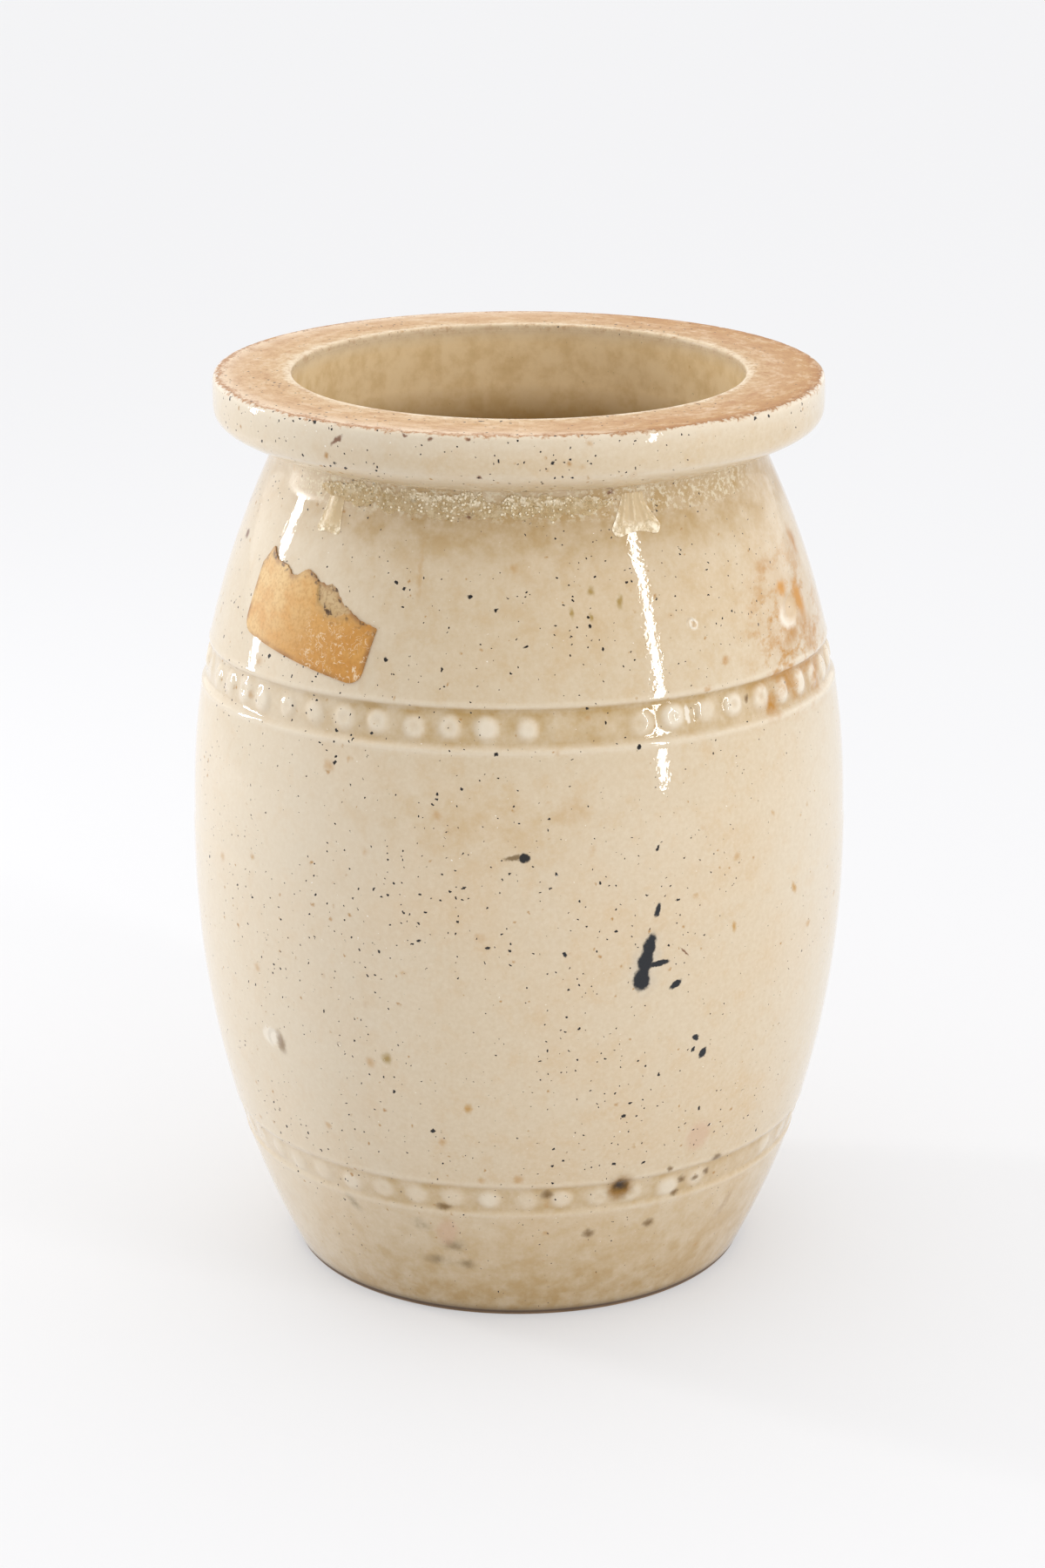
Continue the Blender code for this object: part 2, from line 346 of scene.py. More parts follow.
def add_node(tree, kind, inputs=None, give=0, **settings):
    """Adds a node with its settings, fills its inputs, and returns one of its outputs."""
    node = tree.nodes.new(kind)
    for name, value in settings.items():
        setattr(node, name, value)
    fill_inputs(tree, node, inputs or {})
    return node.outputs[give]


def per(size_in_mm):
    """A pattern's scale for features of this size, on coordinates in metres."""
    return 1.0 / (size_in_mm * MM)


def new_material(name):
    """A material with its node tree and its Principled shader."""
    material = bpy.data.materials.new(name)
    material.use_nodes = True
    return material, material.node_tree, material.node_tree.nodes["Principled BSDF"]


def combined(tree, shares):
    """Multiplies shares. A graded one is a pattern, its start and end, and its first and last value."""
    product = None
    for share in shares:
        if isinstance(share, tuple):
            names = ("Value", "From Min", "From Max", "To Min", "To Max")
            share = add_node(tree, "ShaderNodeMapRange", dict(zip(names, share)))
        if product is None:
            product = share
        else:
            product = add_node(tree, "ShaderNodeMath", {0: product, 1: share}, operation="MULTIPLY")
    return product


def lay_coats(tree, base, coats):
    """Lays coats over a base colour and returns what shows. A coat is a colour and its cover from 0 to 1,
    or a colour, a pattern, where on it the coat starts and is full, its cover there, and what limits it."""
    for coat, cover, *graded in coats:
        if graded:
            start, end, most, *limits = graded
            cover = combined(tree, ((cover, start, end, 0.0, most), *limits))
        base = add_node(tree, "ShaderNodeMix", {0: cover, 6: base, 7: coat}, give=2, data_type="RGBA")
    return base


def scatter(tree, place, crowd, spacing, largest, share, soft):
    """Round spots of mixed size: a share of the cells of this spacing in mm has one. crowd scales them."""
    cell = add_node(tree, "ShaderNodeTexVoronoi", {"Vector": place, "Scale": per(spacing)})
    chance = add_node(tree, "ShaderNodeSeparateColor", {0: cell.node.outputs["Color"]})
    chosen = add_node(tree, "ShaderNodeMath", {0: chance, 1: 1.0 - share}, operation="GREATER_THAN")
    size = largest / spacing
    reach = combined(tree, ((chance, 1.0 - share, 1.0, 0.45 * size, size), chosen, crowd))
    inner = combined(tree, (reach, 1.0 - soft))
    return add_node(
        tree, "ShaderNodeMapRange",
        {"Value": cell, "From Min": reach, "From Max": inner, "To Min": 0.0, "To Max": 1.0},
        interpolation_type="SMOOTHSTEP",
    )


# Marks in the glaze, by kind: colour, softness of the edge, strength, and each mark's place. A place is an
# angle round the pot in degrees, a height, half width and half height in mm, and for some a turn in degrees.
# Cobalt came off the decorator's brush, iron and rust out of the clay, olive and pink from the kiln's ash.
MARKS = (
    ("C0A06C", 1.0, 0.4, ((-7.0, 61.5, 15.0, 5.5),)),
    ("AEB2B4", 1.0, 0.5, ((21.6, 45.0, 1.7, 3.6, -8.0),)),
    ("0D1219", 0.3, 1.0, (
        (22.1, 47.0, 0.72, 1.6, -14.0), (21.4, 45.4, 0.92, 1.6, -9.0), (20.9, 43.4, 1.02, 1.5, -4.0),
        (23.9, 44.9, 1.3, 0.36, 5.0), (27.1, 42.2, 0.85, 0.42, 32.0), (23.5, 51.0, 0.36, 0.8, -16.0),
        (31.7, 35.3, 0.42, 0.4), (33.5, 33.2, 0.42, 0.78, -38.0), (31.5, 33.9, 0.26, 0.32),
        (7.5, 47.0, 0.34, 0.36),
    )),
    ("6A4F1C", 0.5, 0.85, ((-0.9, 57.7, 1.15, 0.38, 4.0),)),
    ("0E0906", 0.3, 1.0, (
        (0.9, 57.8, 0.56, 0.62), (6.2, 56.0, 0.22, 0.22), (34.3, 26.2, 0.25, 0.29),
        (-15.5, 25.5, 0.32, 0.26), (-33.5, 94.6, 0.32, 0.18), (-23.5, 93.3, 0.32, 0.25),
        (47.3, 101.5, 0.22, 0.18), (51.3, 101.4, 0.18, 0.18), (-66.7, 101.5, 0.29, 0.22),
        (23.4, 57.8, 0.19, 0.43, -30.0), (-24.6, 77.5, 0.25, 0.3, 20.0), (-13.8, 77.1, 0.18, 0.3),
        (-9.4, 84.4, 0.27, 0.27), (-4.1, 83.1, 0.19, 0.22), (-24.5, 85.2, 0.2, 0.2),
        (-22.7, 84.7, 0.19, 0.16), (1.2, 79.6, 0.2, 0.2), (-3.7, 68.7, 0.26, 0.24),
        (12.1, 73.1, 0.26, 0.23), (20.8, 68.7, 0.23, 0.36, 30.0), (-13.6, 64.3, 0.16, 0.16),
        (-13.6, 63.7, 0.16, 0.16), (-5.1, 47.7, 0.26, 0.23), (-16.6, 48.1, 0.22, 0.19),
        (-23.7, 46.3, 0.22, 0.3, 30.0), (17.9, 21.0, 0.26, 0.23), (-3.4, 99.5, 0.19, 0.22),
    )),
    ("6E3A14", 0.6, 0.85, (
        (28.7, 45.7, 0.14, 0.8, 40.0), (-75.5, 85.3, 0.6, 0.6), (-34.0, 100.4, 1.1, 0.25, 40.0),
        (-10.5, 92.2, 0.6, 0.35), (20.5, 94.4, 0.45, 0.2), (-15.6, 101.5, 0.3, 0.25),
        (-20.3, 101.7, 0.35, 0.2), (-8.8, 101.5, 0.25, 0.2), (-6.9, 97.6, 0.3, 0.25),
    )),
    ("8E6200", 0.7, 1.0, ((19.8, 17.7, 1.7, 1.9, -10.0),)),
    ("281600", 0.9, 0.95, ((19.8, 18.0, 1.0, 0.9),)),
    ("6A4800", 0.85, 0.8, (
        (14.4, 11.8, 0.75, 0.7), (27.4, 12.0, 0.75, 0.6), (32.3, 15.5, 0.6, 0.5),
        (33.5, 17.1, 0.55, 0.55), (36.8, 16.8, 0.5, 0.45), (39.6, 17.1, 0.6, 0.45),
        (30.0, 19.0, 0.5, 0.4), (41.5, 18.7, 0.9, 0.45, -20.0), (5.4, 17.6, 0.7, 0.7),
        (-14.9, 15.5, 1.0, 0.5), (44.7, 71.5, 0.35, 0.4),
    )),
    ("54431F", 1.0, 0.5, (
        (-20.1, 12.7, 1.2, 1.0), (-13.6, 10.2, 1.5, 1.0), (-17.1, 7.8, 2.2, 0.8), (-11.4, 7.6, 1.2, 0.8),
        (-35.4, 13.7, 0.7, 1.4, 30.0),
    )),
    ("8A6238", 1.0, 0.5, ((48.5, 10.8, 0.7, 2.0, -30.0),)),
    ("7A5A30", 0.8, 0.8, ((-46.6, 32.3, 0.8, 1.4, 15.0),)),
    ("CBA488", 0.5, 0.5, ((35.3, 22.6, 1.8, 2.0), (-14.8, 12.0, 1.3, 2.2, -12.0))),
    ("9A7A20", 0.9, 0.8, (
        (14.2, 84.8, 0.4, 0.55, -20.0), (10.0, 82.7, 0.26, 0.65, 8.0), (13.8, 82.2, 0.26, 0.5, 20.0),
        (19.7, 83.5, 0.32, 0.85, -8.0), (-30.5, 93.0, 0.5, 1.0, 10.0), (-23.2, 33.8, 0.6, 0.7),
    )),
    ("B8862A", 0.9, 0.8, (
        (54.3, 49.2, 0.4, 1.0, 35.0), (38.8, 47.3, 0.36, 0.7), (-8.8, 28.7, 0.6, 0.55),
    )),
    ("C19C68", 1.0, 0.6, ((-19.8, 86.5, 0.3, 3.6, 2.0), (8.1, 62.8, 2.4, 1.6), (-12.0, 60.5, 1.4, 1.0))),
    ("C48400", 0.8, 1.0, ((61.8, 81.2, 1.3, 0.9), (68.3, 79.2, 1.4, 2.3, 12.0))),
    ("B27810", 1.0, 1.0, (
        (40.6, 76.1, 0.8, 0.5, 20.0), (66.5, 76.6, 2.8, 1.6), (70.0, 74.8, 2.0, 1.7, 10.0),
        (58.8, 76.4, 3.2, 1.7), (75.0, 84.6, 1.8, 1.8, 15.0), (35.3, 73.6, 0.6, 0.3),
        (58.0, 84.0, 1.6, 0.8), (51.0, 70.0, 1.9, 1.7, 10.0), (58.3, 71.6, 1.5, 1.8),
        (70.0, 70.4, 2.0, 1.8), (53.0, 73.2, 1.4, 0.5),
    )),
    # Painted highlights: near-white glints on the rims of pits, on a chip and on the left of a bead.
    ("EDE3D2", 0.4, 0.9, (
        (34.6, 80.3, 0.62, 0.62), (61.6, 78.3, 2.1, 1.6), (30.9, 71.2, 0.3, 1.1), (-49.4, 32.6, 1.4, 1.3),
    )),
    # Tan centres that turn two of the painted highlights into rings.
    ("CDB088", 0.5, 0.9, ((34.6, 80.25, 0.36, 0.36), (63.0, 78.8, 2.1, 1.6))),
)
MARK_DEPTH = 2.5
# Pits: angle in degrees, height and half width in mm.
PITS = ((33.9, 80.5, 0.6), (63.0, 78.8, 1.7), (-48.2, 32.5, 1.3), (-32.4, 34.4, 0.35), (31.7, 71.3, 1.1))
PIT_DEPTH = 0.12
RUST_PLACE = (64.0, 77.5, 13.0, 12.5)


def outer_radius(height):
    """The outer radius at a height, on the wall or on the rim's side."""
    if height < RIM_LOWER_HEIGHT:
        return barrel_radius(height) + band_relief(height)[0]
    rise = max(0.0, height - RIM_SIDE_TOP) / (HEIGHT - RIM_SIDE_TOP)
    return RIM_FLAT_RADIUS + (RIM_RADIUS - RIM_FLAT_RADIUS) * math.sqrt(1.0 - rise * rise)


def outer_point(angle, height):
    """A point on the outside: angle 0 faces -Y and grows to the right."""
    radius = outer_radius(height)
    return Vector((radius * math.sin(angle), -radius * math.cos(angle), height))


def near_to(tree, place, angle, height, half_width, half_height, turn=0.0):
    """How near a point lies to a place on the outside: 1 in its middle, 1/3 on the edge of an oval of
    this size, and 0 from half as far again."""
    angle = math.radians(angle)
    reach = max(MARK_DEPTH, 0.4 * half_width)
    local = add_node(
        tree, "ShaderNodeMapping",
        {
            "Vector": place,
            "Location": outer_point(angle, height * MM),
            "Rotation": (0.0, math.radians(-turn), angle),
            "Scale": [1.5 * size * MM for size in (half_width, reach, half_height)],
        },
        vector_type="TEXTURE",
    )
    return add_node(tree, "ShaderNodeTexGradient", {"Vector": local}, give="Fac", gradient_type="SPHERICAL")


# How far the edges of marks wander, and at what radius the rim's tool streaks are drawn out.
WANDER = 0.9 * MM
STREAK_RADIUS = 15.0 * MM


def glaze_fields(tree):
    """The surface values and the patterns that the glaze, the clay and the bumps share."""
    place = add_node(tree, "ShaderNodeTexCoord", give="Object")
    fields = {}
    for name in RING_VALUES:
        fields[name] = add_node(tree, "ShaderNodeAttribute", give="Fac", attribute_name=name)
    for name, size, detail in (
        ("broad", 13.0, 3.0), ("mottle", 2.4, 4.0), ("ragged", 0.9, 3.0), ("fine", 0.5, 3.0),
    ):
        inputs = {"Vector": place, "Scale": per(size), "Detail": detail, "Roughness": 0.6}
        fields[name] = add_node(tree, "ShaderNodeTexNoise", inputs)
    drift = add_node(
        tree, "ShaderNodeVectorMath",
        {0: fields["ragged"].node.outputs["Color"], 1: (0.5, 0.5, 0.5)}, operation="SUBTRACT",
    )
    drift = add_node(tree, "ShaderNodeVectorMath", {0: drift, "Scale": WANDER}, operation="SCALE")
    wandering = add_node(tree, "ShaderNodeVectorMath", {0: place, 1: drift}, operation="ADD")
    patchy = combined(tree, ((fields["mottle"], 0.36, 0.62, 0.15, 1.0),))
    across = add_node(tree, "ShaderNodeSeparateXYZ", {0: place}).node.outputs
    flat = add_node(tree, "ShaderNodeVectorMath", {0: place, 1: (1.0, 1.0, 0.0)}, operation="MULTIPLY")
    radius = add_node(tree, "ShaderNodeVectorMath", {0: flat}, give="Value", operation="LENGTH")
    angle = add_node(tree, "ShaderNodeMath", {0: across["X"], 1: across["Y"]}, operation="ARCTAN2")
    around = combined(tree, (angle, STREAK_RADIUS))
    tooled = add_node(tree, "ShaderNodeCombineXYZ", {"X": radius, "Y": around, "Z": across["Z"]})
    inputs = {"Vector": tooled, "Scale": per(1.3), "Detail": 5.0, "Roughness": 0.7}
    fields["streak"] = add_node(tree, "ShaderNodeTexNoise", inputs)
    return SimpleNamespace(
        place=place, wandering=wandering, patchy=patchy, x=across["X"], y=across["Y"], z=across["Z"], **fields
    )


def glaze_colour(tree, at):
    """Cream glaze: peach in places, olive where it pooled, pale where it thinned, yellower inside, and
    painted light.
    """
    pooled = combined(tree, (
        (at.glaze_depth, 0.0, 1.0, 0.0, 0.9),
        (at.mottle, 0.35, 0.62, 0.4, 1.0),
        # Painted light: the pooled olive fades towards the left, where more light falls.
        (at.x, -25.0 * MM, -14.0 * MM, 0.3, 1.0),
    ))
    not_low = combined(tree, ((at.z, 76.0 * MM, 84.0 * MM, 0.4, 1.0),))
    lining = lay_coats(tree, "F6DCB0", (
        ("EFD2A2", at.patchy),
        ("BE9852", at.mottle, 0.45, 0.75, 0.3),  # blotches
        # Painted shade: darker and browner down inside the neck, where less light reaches.
        ("86601E", at.z, 95.0 * MM, 90.5 * MM, 0.8, not_low),  # browner below the neck
    ))
    glaze = lay_coats(tree, "D6C4A8", (
        ("D5BB97", at.broad, 0.45, 0.75, 0.6),  # peach
        ("D0B288", at.mottle, 0.52, 0.75, 0.45),  # blush
        ("C6AE86", at.fine, 0.5, 0.72, 0.22),  # dusky grain
        ("E4D8C1", at.fine, 0.5, 0.3, 0.22),  # pale grain
        # Painted light: the glaze is paler towards the left, where more light and white reflection fall.
        ("ECE3D2", at.x, -7.0 * MM, -24.0 * MM, 0.35),  # paler to the left
        # Painted reflection: paler and greyer at the right edge, for the white surroundings reflected there.
        ("DEDACF", at.x, 25.0 * MM, 34.0 * MM, 0.32),  # greyer at the right
        ("B29054", pooled),
        ("E9DECB", at.glaze_depth, 0.0, -1.0, 0.85),  # thin on the edges
        (lining, at.inside),
    ))
    return glaze, pooled


def rust_stain(tree, at, base, pooled):
    """Iron that bled out of the clay on the right: spotted on the shoulder, solid where the glaze pooled."""
    near = near_to(tree, at.place, *RUST_PLACE)
    region = add_node(
        tree, "ShaderNodeMapRange", {"Value": near, "From Min": 0.25, "From Max": 0.85},
        interpolation_type="SMOOTHSTEP",
    )
    runny = add_node(tree, "ShaderNodeVectorMath", {0: at.place, 1: (1.0, 0.4, 1.0)}, operation="MULTIPLY")
    spots = add_node(
        tree, "ShaderNodeTexNoise", {"Vector": runny, "Scale": per(1.7), "Detail": 4.0, "Roughness": 0.7}
    )
    solid = combined(tree, (region, pooled))
    return lay_coats(tree, base, (("AC7620", solid), ("B8822E", spots, 0.49, 0.64, 0.95, region)))


def painted_marks(tree, at, base):
    """Lays each mark over the base colour. The softest break up into patches, as a stain does."""
    for code, soft, strength, places in MARKS:
        for mark in places:
            near = near_to(tree, at.wandering, *mark)
            inputs = {"Value": near, "From Min": (1 - 0.8 * soft) / 3, "From Max": (1 + 2 * soft) / 3}
            inputs["To Max"] = strength
            cover = add_node(tree, "ShaderNodeMapRange", inputs, interpolation_type="SMOOTHSTEP")
            if soft == 1.0:
                cover = combined(tree, (cover, at.patchy))
            base = lay_coats(tree, base, ((code, cover),))
    return base


def groove_residue(tree, at, base):
    """A dull smear of old gum in the front of the tie groove with a grainy white bloom, and where it lies."""
    bloom = add_node(
        tree, "ShaderNodeTexNoise", {"Vector": at.place, "Scale": per(0.55), "Detail": 3.0, "Roughness": 0.7}
    )
    gummed = combined(tree, (
        (at.z, 91.2 * MM, 92.2 * MM, 0.0, 1.0),
        (at.z, 95.2 * MM, 94.4 * MM, 0.0, 1.0),
        (at.y, -10.0 * MM, -16.0 * MM, 0.0, 1.0),
    ))
    return lay_coats(tree, base, (("E6DBC0", bloom, 0.5, 0.6, 0.75, gummed),)), gummed


# Bare clay over the rim, from the mouth's lip outwards: share of the run, colour and cover.
# On the left the kiln's salt caught the outer edge and left it pale, on the right it is bare to the edge.
RIM_LEFT = (
    (0.0, "DCC6A4", 0.6), (0.1, "D3B389", 1.0), (0.35, "CCA679", 1.0), (0.6, "D2AF88", 1.0),
    (0.74, "E4CBAE", 1.0), (0.81, "A8703F", 1.0), (0.85, "CFAE85", 0.0),
)
RIM_RIGHT = (
    (0.0, "DCC6A4", 0.6), (0.1, "CBA87C", 1.0), (0.35, "C29768", 1.0), (0.65, "BE9059", 1.0),
    (0.77, "B37F46", 1.0), (0.82, "9A6836", 1.0), (0.86, "CFAE85", 0.0),
)
RIM_RAGGED = 0.2


def rim_clay(tree, at, base):
    """Bare tan clay over the rim, laid on the base colour, and how far it covers the glaze."""
    run = at.rim_run
    for pattern in (at.streak, at.fine):
        shift = add_node(tree, "ShaderNodeMath", {0: pattern, 1: 0.5}, operation="SUBTRACT")
        run = add_node(tree, "ShaderNodeMath", {0: shift, 1: RIM_RAGGED, 2: run}, operation="MULTIPLY_ADD")
    to_right = combined(tree, ((at.x, 0.0, 14.0 * MM, 0.0, 1.0),))
    sides = []
    for stops in (RIM_LEFT, RIM_RIGHT):
        ramp = add_node(tree, "ShaderNodeValToRGB", {"Fac": run}).node
        for number, (share, code, cover) in enumerate(stops):
            stop = ramp.color_ramp.elements[0] if number == 0 else ramp.color_ramp.elements.new(share)
            stop.position = share
            stop.color = (*colour(code)[:3], cover)
        ramp.color_ramp.elements.remove(ramp.color_ramp.elements[-1])
        sides.append(ramp.outputs)
    left, right = sides
    alphas = {0: to_right, 2: left["Alpha"], 3: right["Alpha"]}
    cover = add_node(tree, "ShaderNodeMix", alphas, data_type="FLOAT")
    cover = combined(tree, (cover, (at.rim_run, -0.1, 0.0, 0.0, 1.0)))
    clay = lay_coats(tree, left["Color"], (
        (right["Color"], to_right),
        ("AE7A48", at.streak, 0.48, 0.72, 0.7),  # tool streaks
        ("A06C3A", at.fine, 0.55, 0.7, 0.5),  # pits
        ("E2CBAE", at.streak, 0.48, 0.3, 0.6),  # floury streaks
    ))
    return lay_coats(tree, base, ((clay, cover),)), cover


# Iron specks and painted glints in the glaze: spacing and largest radius in mm, share of the places that
# have one, softness, strength and colour. The near-white row paints tiny highlights.
SPECKS = (
    (4.0, 1.1, 0.45, 1.0, 0.6, "BA8A46"),
    (1.8, 0.42, 0.6, 0.9, 0.8, "A87420"),
    (0.8, 0.17, 0.75, 0.25, 1.0, "120A05"),
    (1.9, 0.28, 0.4, 0.3, 1.0, "0E0906"),
    # Painted highlights: tiny white glints.
    (1.0, 0.11, 0.35, 0.5, 0.8, "FBF6EE"),
)


def iron_specks_and_painted_glints(tree, at, base):
    """Iron specks and painted glints, crowded in places and on the rim, fewer on the right, foot and inside.
    """
    crowd = combined(tree, (
        (at.broad, 0.35, 0.65, 0.45, 1.15),
        (at.x, 12.0 * MM, 28.0 * MM, 1.0, 0.7),
        (at.z, 22.0 * MM, 12.0 * MM, 1.0, 0.6),
        (at.z, 94.0 * MM, 96.0 * MM, 1.0, 1.25),
        (at.inside, 0.0, 1.0, 1.0, 0.25),
    ))
    for spacing, largest, share, soft, strength, code in SPECKS:
        cover = scatter(tree, at.wandering, crowd, spacing, largest, share, soft)
        base = lay_coats(tree, base, ((code, combined(tree, (cover, strength))),))
    return base


def glaze_surface(tree, at, dull):
    """The glaze's gloss, dull on bare clay, and the normal of its swell, its orange peel and its pits."""
    sheen = combined(tree, ((at.mottle, 0.3, 0.7, 0.02, 0.05),))
    roughness = add_node(tree, "ShaderNodeMix", {0: dull, 2: sheen, 3: 0.6}, data_type="FLOAT")
    reliefs = []
    for size, rise in ((4.0, 0.04), (0.5, 0.011)):
        relief = add_node(tree, "ShaderNodeTexNoise", {"Vector": at.place, "Scale": per(size), "Detail": 1.5})
        reliefs.append((relief, rise))
    for angle, height, reach in PITS:
        near = near_to(tree, at.place, angle, height, reach, reach)
        inputs = {"Value": near, "From Min": 0.67, "From Max": 0.33}
        relief = add_node(tree, "ShaderNodeMapRange", inputs, interpolation_type="SMOOTHSTEP")
        reliefs.append((relief, PIT_DEPTH))
    normal = add_node(tree, "ShaderNodeNewGeometry", give="Normal")
    for relief, rise in reliefs:
        inputs = {"Height": relief, "Distance": rise * MM, "Strength": 1.0, "Normal": normal}
        normal = add_node(tree, "ShaderNodeBump", inputs)
    return roughness, normal


def salt_glaze():
    """Salt-glazed stoneware: a glossy cream skin, fine orange peel, iron specks, olive where it pools,
    pale where it thins, and bare tan clay on the rim's top and the foot."""
    material, tree, shader = new_material("salt_glazed_stoneware")
    at = glaze_fields(tree)
    base, pooled = glaze_colour(tree, at)
    base = rust_stain(tree, at, base, pooled)
    base, dull = rim_clay(tree, at, base)
    base = painted_marks(tree, at, base)
    base, gummed = groove_residue(tree, at, base)
    # The foot's buff bare clay has darker patches and is dark from half a millimetre up: the clay's darker
    # edge, deepened by painted contact shade.
    foot = lay_coats(tree, "B58F66", (("9A7850", at.patchy), ("5E4A38", at.z, 0.05 * MM, 0.5 * MM, 1.0)))
    base = iron_specks_and_painted_glints(tree, at, lay_coats(tree, base, ((foot, at.bare_clay),)))
    for share in (at.bare_clay, gummed):
        dull = add_node(tree, "ShaderNodeMath", {0: dull, 1: share}, operation="MAXIMUM")
    roughness, normal = glaze_surface(tree, at, dull)
    fill_inputs(tree, shader, {"Base Color": base, "Roughness": roughness, "Normal": normal, "IOR": 1.5})
    return material


def new_tree(name, inputs):
    """A Geometry Nodes tree that takes a geometry and the named inputs, and its sockets to link from."""
    tree = bpy.data.node_groups.new(name, "GeometryNodeTree")
    for kind, sockets in {"Geometry": ("Geometry",), **inputs}.items():
        for socket in sockets:
            tree.interface.new_socket(socket, in_out="INPUT", socket_type="NodeSocket" + kind)
    tree.interface.new_socket("Geometry", in_out="OUTPUT", socket_type="NodeSocketGeometry")
    return tree, tree.nodes.new("NodeGroupInput").outputs


def end_tree(tree, geometry, material):
    """Realizes the geometry, gives it its material and hands it out."""
    geometry = add_node(tree, "GeometryNodeRealizeInstances", {"Geometry": geometry})
    geometry = add_node(tree, "GeometryNodeSetMaterial", {"Geometry": geometry, "Material": material})
    tree.links.new(geometry, tree.nodes.new("NodeGroupOutput").inputs["Geometry"])


BEAD_WIDTH = 2.5 * MM
BEAD_ASTRAY = 0.2 * MM


def pressed_beads():
    """A tree that raises a row of uneven beads out of a band's floor and thins the glaze over each."""
    tree, given = new_tree("pressed_beads", {
        "Int": ("Bead count", "Seed"),
        "Float": ("Band radius", "Bead width", "Bead rise", "Glaze thinning"),
        "Vector": ("Row turn", "Band middle", "Worn place"),
        "Material": ("Glaze",),
    })
    row = add_node(
        tree, "GeometryNodeMeshCircle", {"Vertices": given["Bead count"], "Radius": given["Band radius"]}
    )
    turn = add_node(tree, "FunctionNodeEulerToRotation", {0: given["Row turn"]})
    row = add_node(
        tree, "GeometryNodeTransform",
        {"Geometry": row, "Translation": given["Band middle"], "Rotation": turn},
    )
    astray = add_node(
        tree, "FunctionNodeRandomValue",
        {0: (-BEAD_ASTRAY,) * 3, 1: (BEAD_ASTRAY,) * 3, "Seed": given["Seed"]}, data_type="FLOAT_VECTOR",
    )
    row = add_node(tree, "GeometryNodeSetPosition", {"Geometry": row, "Offset": astray})
    distance = add_node(tree, "GeometryNodeProximity", {0: row}, give="Distance", target_element="POINTS")
    bead = add_node(tree, "GeometryNodeSampleNearest", {"Geometry": row}, domain="POINT")
    seed = add_node(tree, "ShaderNodeMath", {0: given["Seed"], 1: 1.0}, operation="ADD")
    # Each bead's own half width as a share, its strength, and whether it has a crater.
    chances = add_node(
        tree, "FunctionNodeRandomValue",
        {0: (0.44, 0.5, 0.0), 1: (0.56, 1.0, 1.0), "ID": bead, "Seed": seed}, data_type="FLOAT_VECTOR",
    )
    chance = add_node(tree, "ShaderNodeSeparateXYZ", {0: chances}).node.outputs
    half_width = combined(tree, (given["Bead width"], chance["X"]))
    away = add_node(tree, "ShaderNodeMath", {0: distance, 1: half_width}, operation="DIVIDE")
    apart = {0: add_node(tree, "GeometryNodeInputPosition"), 1: given["Worn place"]}
    from_worn = add_node(tree, "ShaderNodeVectorMath", apart, give="Value", operation="DISTANCE")
    shape = []
    for value, start, end, first, last in (
        (away, 0.45, 1.35, 1.0, 0.0),
        (away, 0.1, 0.65, 0.4, 0.0),
        (from_worn, 3.0 * MM, 6.5 * MM, 0.25, 1.0),
    ):
        inputs = {"Value": value, "From Min": start, "From Max": end, "To Min": first, "To Max": last}
        shape.append(add_node(tree, "ShaderNodeMapRange", inputs, interpolation_type="SMOOTHSTEP"))
    dome, crater, kept = shape
    cratered = add_node(tree, "ShaderNodeMath", {0: chance["Z"], 1: 0.55}, operation="GREATER_THAN")
    crater = combined(tree, (crater, cratered))
    in_band = add_node(tree, "GeometryNodeInputNamedAttribute", {"Name": "in_band"}, data_type="FLOAT")
    pressed = add_node(tree, "ShaderNodeMath", {0: dome, 1: crater}, operation="SUBTRACT")
    pressed = combined(tree, (pressed, chance["Y"], kept, in_band))
    rise = combined(tree, (pressed, given["Bead rise"]))
    outward = add_node(tree, "GeometryNodeInputNormal")
    offset = add_node(tree, "ShaderNodeVectorMath", {0: outward, "Scale": rise}, operation="SCALE")
    depth = add_node(tree, "GeometryNodeInputNamedAttribute", {"Name": "glaze_depth"}, data_type="FLOAT")
    thinned = combined(tree, (pressed, given["Glaze thinning"]))
    depth = add_node(tree, "ShaderNodeMath", {0: depth, 1: thinned}, operation="SUBTRACT")
    shaped = add_node(
        tree, "GeometryNodeStoreNamedAttribute",
        {"Geometry": given["Geometry"], "Name": "glaze_depth", "Value": depth},
        data_type="FLOAT", domain="POINT",
    )
    shaped = add_node(tree, "GeometryNodeSetPosition", {"Geometry": shaped, "Offset": offset})
    end_tree(tree, shaped, given["Glaze"])
    return tree


def add_piece(name, mesh):
    """Puts a mesh into the scene as a piece."""
    piece = bpy.data.objects.new(name, mesh)
    bpy.context.scene.collection.objects.link(piece)
    return piece


def add_nodes(piece, tree, values):
    """Adds a tree to the piece as a modifier, with the named inputs set by their identifiers."""
    modifier = piece.modifiers.new(tree.name, "NODES")
    modifier.node_group = tree
    for item in tree.interface.items_tree:
        if item.name in values:
            modifier[item.identifier] = values[item.name]


def finish_nodes(piece):
    """Turns the piece's modifiers into a plain mesh."""
    shaped = piece.evaluated_get(bpy.context.evaluated_depsgraph_get())
    mesh = bpy.data.meshes.new_from_object(shaped)
    mesh.name = piece.name + "_mesh"
    piece.modifiers.clear()
    piece.data = mesh


# The roulette's two runs: band, beads, first bead's angle, tilt, pitch, rise, glaze thinning, the angle
# where the beads are worn, and seed.
BEAD_ROWS = (
    (UPPER_BAND, 54, 1.4, BAND_TILT, BAND_PITCH, 0.36 * MM, 1.7, 13.0, 4),
    (LOWER_BAND, 50, 1.25, 0.0, 0.0, 0.2 * MM, 1.2, 48.0, 9),
)

